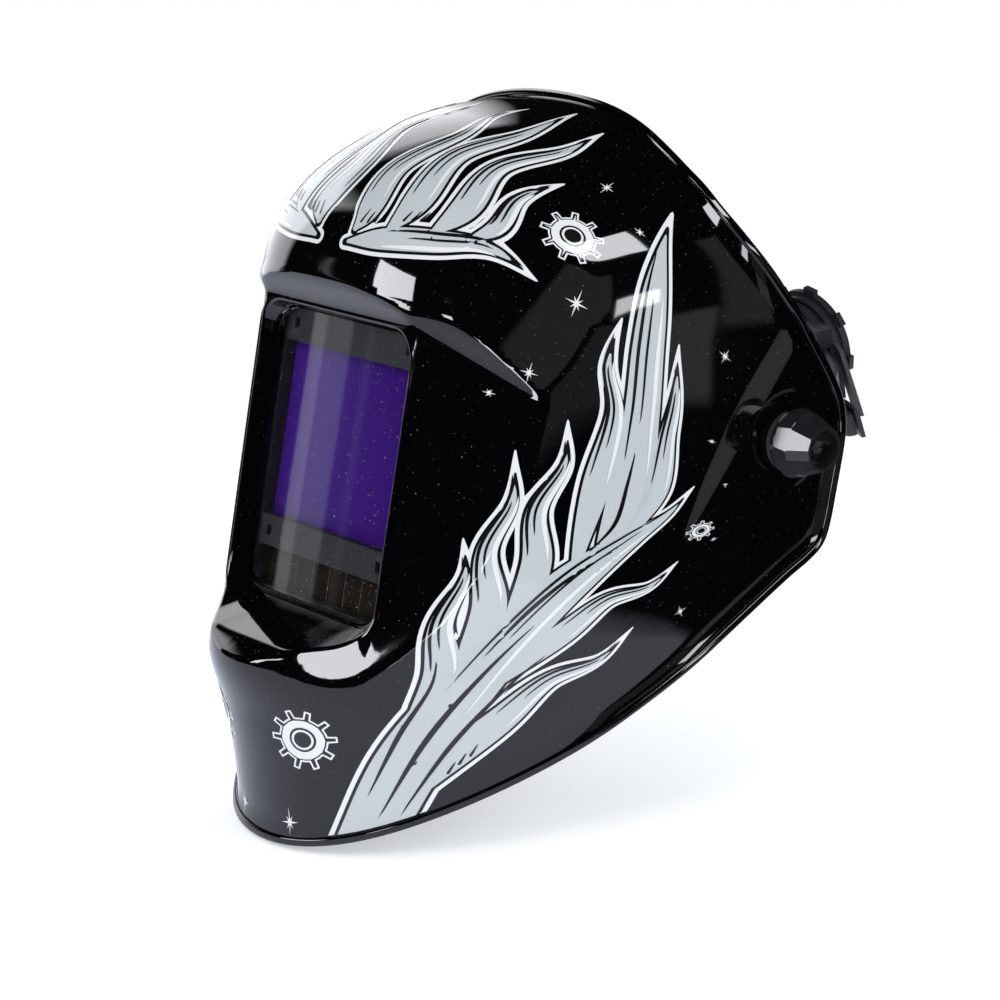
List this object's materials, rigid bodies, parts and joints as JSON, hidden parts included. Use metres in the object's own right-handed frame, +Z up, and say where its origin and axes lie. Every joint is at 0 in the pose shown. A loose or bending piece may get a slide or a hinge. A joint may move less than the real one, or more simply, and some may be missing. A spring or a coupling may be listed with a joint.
{
  "type": "auto-darkening welding helmet",
  "caption": "Full-face welding helmet with faceted glossy shell, auto-darkening filter window, tilting on ear knobs, and ratchet headband inside.",
  "frame": {"origin": "middle of the head, where the line between the two ear pivots crosses the centre plane", "axes": "+X to the wearer's left along the tilt axis, -Y the way the wearer looks, +Z up through the top of the head"},
  "size_m": [0.271, 0.3661, 0.3283],
  "materials": {
    "shell_black": "gloss black moulded nylon",
    "clear_sheet": "clear polycarbonate sheet",
    "filter_purple": "dark purple interference filter",
    "case_black": "fine textured black plastic",
    "solar_brown": "dark brown solar cells under glass",
    "sensor_dark": "dark sensor windows",
    "board_green": "green circuit board",
    "cell_steel": "plain steel",
    "control_grey": "grey moulded plastic",
    "lamp_red": "red lens",
    "knob_black": "satin black moulded plastic",
    "band_black": "satin black flexible plastic",
    "pad_fabric": "black foam faced with knitted cloth",
    "bolt_steel": "plated steel",
    "insert_brass": "turned brass",
    "washer_rubber": "black rubber"
  },
  "bodies": {
    "headgear": {"headband_front": "band_black", "sweatband_front": "pad_fabric", "side_bracket_left": "band_black", "side_bracket_right": "band_black", "bracket_rivets": "bolt_steel", "crown_strap_left": "band_black", "crown_strap_right": "band_black", "crown_strap_pins": "band_black", "crown_pad": "pad_fabric", "crown_strap_rivets": "bolt_steel", "tilt_stop_left": "knob_black", "tilt_stop_right": "knob_black", "pivot_bolt_left": "bolt_steel", "pivot_bolt_right": "bolt_steel", "inner_washer_left": "washer_rubber", "inner_washer_right": "washer_rubber", "outer_washer_left": "knob_black", "outer_washer_right": "knob_black", "spring_washer_left": "bolt_steel", "spring_washer_right": "bolt_steel", "ratchet_housing_inner": "band_black", "ratchet_housing_outer": "band_black", "housing_screws": "bolt_steel", "nape_plate": "band_black", "nape_screws": "bolt_steel", "nape_pad": "pad_fabric"},
    "helmet": {"shell": "shell_black", "cover_lens_front": "clear_sheet", "filter_case_front": "case_black", "filter_case_back": "case_black", "filter_glass": "filter_purple", "solar_panel": "solar_brown", "arc_sensors": "sensor_dark", "circuit_board": "board_green", "coin_cells": "cell_steel", "indicator_lamp": "lamp_red", "cover_lens_inner": "clear_sheet", "retaining_pins": "cell_steel"},
    "retainer": {"retaining_frame": "case_black"},
    "sensitivity": {"sensitivity_dial": "control_grey"},
    "shade": {"shade_dial": "control_grey"},
    "delay": {"delay_dial": "control_grey"},
    "test": {"test_button": "control_grey"},
    "battery_hatch_left": {"battery_cover_left": "case_black"},
    "battery_hatch_right": {"battery_cover_right": "case_black"},
    "tension_left": {"tension_knob_left": "knob_black", "knob_insert_left": "insert_brass"},
    "tension_right": {"tension_knob_right": "knob_black", "knob_insert_right": "insert_brass"},
    "strap_left": {"rack_strap_left": "band_black"},
    "strap_right": {"rack_strap_right": "band_black"},
    "ratchet": {"ratchet_pinion": "knob_black", "click_wheel": "knob_black", "ratchet_knob": "knob_black", "ratchet_knob_cap": "knob_black", "ratchet_screw": "bolt_steel"}
  },
  "joints": [
    {"name": "helmet_tilt", "type": "hinge", "parent": "headgear", "child": "helmet", "pos_m": [0, 0, 0], "axis": [-1, 0, 0], "range_deg": [-20, 55]},
    {"name": "tension_left_turn", "type": "hinge", "parent": "headgear", "child": "tension_left", "pos_m": [0.125, 0, 0], "axis": [1, 0, 0], "range_deg": [0, 360]},
    {"name": "tension_right_turn", "type": "hinge", "parent": "headgear", "child": "tension_right", "pos_m": [-0.125, 0, 0], "axis": [-1, 0, 0], "range_deg": [0, 360]},
    {"name": "ratchet_turn", "type": "hinge", "parent": "headgear", "child": "ratchet", "pos_m": [0, 0.11979, 0.01281], "axis": [0, 0.981, 0.1942], "range_deg": [-216, 216]},
    {"name": "strap_left_slide", "type": "hinge", "parent": "headgear", "child": "strap_left", "pos_m": [0, 0.02366, -0.00622], "axis": [0, -0.1942, 0.981], "range_deg": [-12.7, 12.7]},
    {"name": "strap_right_slide", "type": "hinge", "parent": "headgear", "child": "strap_right", "pos_m": [0, 0.02366, -0.00622], "axis": [0, -0.1942, 0.981], "range_deg": [-12.7, 12.7]},
    {"name": "retainer_hinge", "type": "hinge", "parent": "helmet", "child": "retainer", "pos_m": [0, -0.14472, 0.06853], "axis": [1, 0, 0], "range_deg": [0, 28]},
    {"name": "sensitivity_turn", "type": "hinge", "parent": "helmet", "child": "sensitivity", "pos_m": [0.02, -0.17074, -0.05987], "axis": [0, 0.9823, -0.1874], "range_deg": [-135, 135]},
    {"name": "shade_turn", "type": "hinge", "parent": "helmet", "child": "shade", "pos_m": [0, -0.17074, -0.05987], "axis": [0, 0.9823, -0.1874], "range_deg": [-135, 135]},
    {"name": "delay_turn", "type": "hinge", "parent": "helmet", "child": "delay", "pos_m": [-0.02, -0.17074, -0.05987], "axis": [0, 0.9823, -0.1874], "range_deg": [-135, 135]},
    {"name": "test_press", "type": "slide", "parent": "helmet", "child": "test", "axis": [0, -0.9823, 0.1874], "range_m": [0, 0.001], "stiffness_N_per_m": 600, "springref_m": -0.0005},
    {"name": "battery_left_turn", "type": "hinge", "parent": "helmet", "child": "battery_hatch_left", "pos_m": [0.043, -0.17074, -0.05987], "axis": [0, 0.9823, -0.1874], "range_deg": [0, 45]},
    {"name": "battery_right_turn", "type": "hinge", "parent": "helmet", "child": "battery_hatch_right", "pos_m": [-0.043, -0.17074, -0.05987], "axis": [0, 0.9823, -0.1874], "range_deg": [0, 45]}
  ],
  "couplings": [
    {"joint": "strap_left_slide", "follows": "ratchet_turn", "ratio": 0.058173},
    {"joint": "strap_right_slide", "follows": "ratchet_turn", "ratio": -0.05698}
  ]
}
